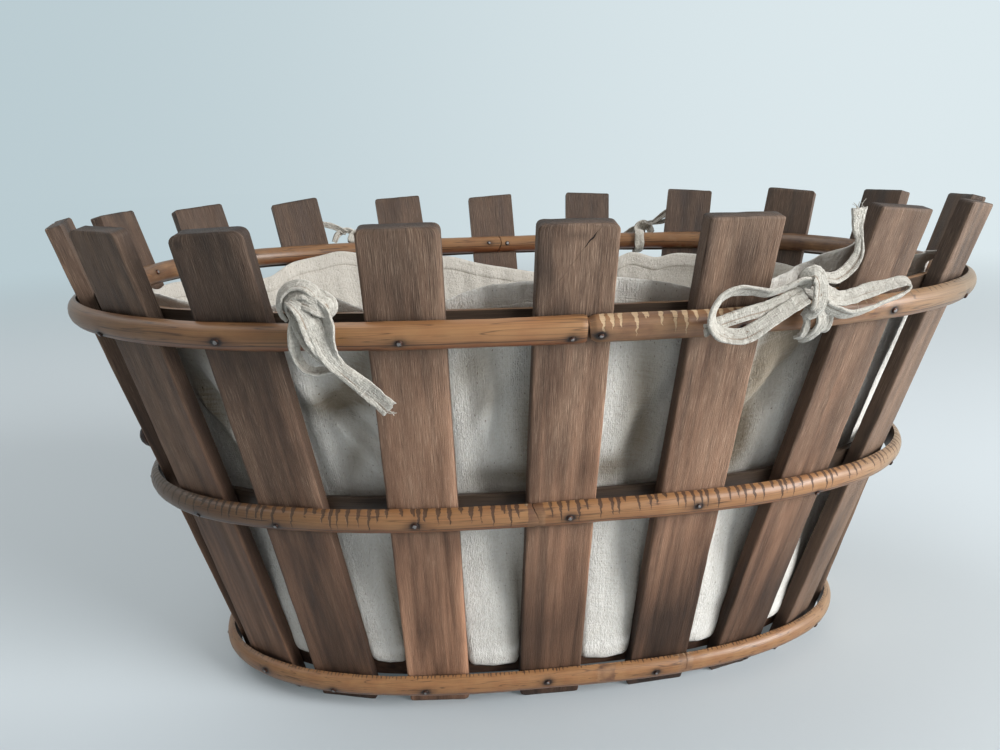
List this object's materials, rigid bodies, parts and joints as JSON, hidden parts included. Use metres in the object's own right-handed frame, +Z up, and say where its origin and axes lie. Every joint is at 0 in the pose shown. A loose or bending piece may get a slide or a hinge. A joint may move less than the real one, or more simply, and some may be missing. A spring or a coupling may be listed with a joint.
{
  "type": "wooden basket",
  "caption": "Oval flared harvest basket of upright wooden slats nailed to split rod hoops, with a plank floor and a linen bag tied to its rim.",
  "frame": {"origin": "middle of the ground that the feet stand on", "axes": "+X along the long way of the oval, +Z up, and the front, which the picture shows, faces -Y"},
  "size_m": [0.5881, 0.3748, 0.3125],
  "materials": {
    "slat_wood": "weathered brown hardwood, dry, worn paler on the edges",
    "hoop_rod": "split rods, peeled and polished by hands, with strips of dark bark left",
    "floor_wood": "dark rough boards",
    "forged_iron": "dark forged iron",
    "linen": "unbleached linen with slubs, plain weave"
  },
  "bodies": {
    "root": {"floor_board_1": "floor_wood", "floor_board_2": "floor_wood", "floor_board_3": "floor_wood", "inner_hoop_middle": "hoop_rod", "inner_hoop_rim": "hoop_rod", "liner_back_panel": "linen", "liner_bottom": "linen", "liner_front_panel": "linen", "outer_hoop_foot": "hoop_rod", "outer_hoop_middle": "hoop_rod", "outer_hoop_rim": "hoop_rod", "rivet_left": "forged_iron", "rivet_right": "forged_iron", "slat_01": "slat_wood", "slat_02": "slat_wood", "slat_03": "slat_wood", "slat_04": "slat_wood", "slat_05": "slat_wood", "slat_06": "slat_wood", "slat_07": "slat_wood", "slat_08": "slat_wood", "slat_09": "slat_wood", "slat_10": "slat_wood", "slat_11": "slat_wood", "slat_12": "slat_wood", "slat_13": "slat_wood", "slat_14": "slat_wood", "slat_15": "slat_wood", "slat_16": "slat_wood", "slat_17": "slat_wood", "slat_18": "slat_wood", "tie_back_left_band": "linen", "tie_back_left_knot": "linen", "tie_back_left_loop": "linen", "tie_back_right_band": "linen", "tie_back_right_knot": "linen", "tie_back_right_loop": "linen", "tie_front_left_band": "linen", "tie_front_left_knot": "linen", "tie_front_left_tail": "linen", "tie_front_right_band": "linen", "tie_front_right_knot": "linen", "tie_front_right_loop_left": "linen", "tie_front_right_loop_right": "linen", "tie_front_right_tail": "linen"}
  },
  "joints": []
}
